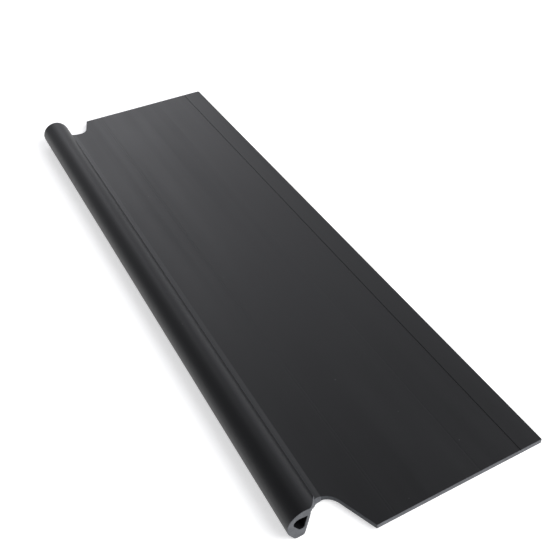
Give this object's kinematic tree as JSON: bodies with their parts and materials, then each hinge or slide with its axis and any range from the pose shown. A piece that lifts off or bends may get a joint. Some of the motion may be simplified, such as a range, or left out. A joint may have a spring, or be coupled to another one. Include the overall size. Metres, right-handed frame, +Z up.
{
  "type": "door sweep",
  "caption": "Black rubber door sweep: a hollow bead on a folded neck carries a wide flat flap, notched at both ends, that ends in a scored wiping lip.",
  "frame": {"origin": "on the ground, at the middle of the strip's footprint", "axes": "+Y along the strip, from the end with the deeper notch to the other end; +X from the bead to the free edge; +Z up"},
  "size_m": [0.1488, 0.457, 0.0208],
  "materials": {
    "bead": "satin",
    "hinge_web": "satin",
    "flap": "satin",
    "score_web": "satin",
    "wiping_lip": "satin"
  },
  "bodies": {
    "bead_body": {"bead": "bead", "hinge_web": "hinge_web"},
    "flap_body": {"flap": "flap", "score_web": "score_web"},
    "lip_body": {"wiping_lip": "wiping_lip"}
  },
  "joints": [
    {"name": "flap_fold", "type": "hinge", "parent": "bead_body", "child": "flap_body", "pos_m": [-0.05386, 0, 0.00413], "axis": [0, -1, 0], "range_deg": [-90, 65], "stiffness_Nm_per_rad": 1.4, "deforming": ["hinge_web"]},
    {"name": "lip_bend", "type": "hinge", "parent": "flap_body", "child": "lip_body", "pos_m": [0.05941, 0, 0.00189], "axis": [0, -1, 0], "range_deg": [-45, 45], "stiffness_Nm_per_rad": 2.2, "deforming": ["score_web"]}
  ]
}
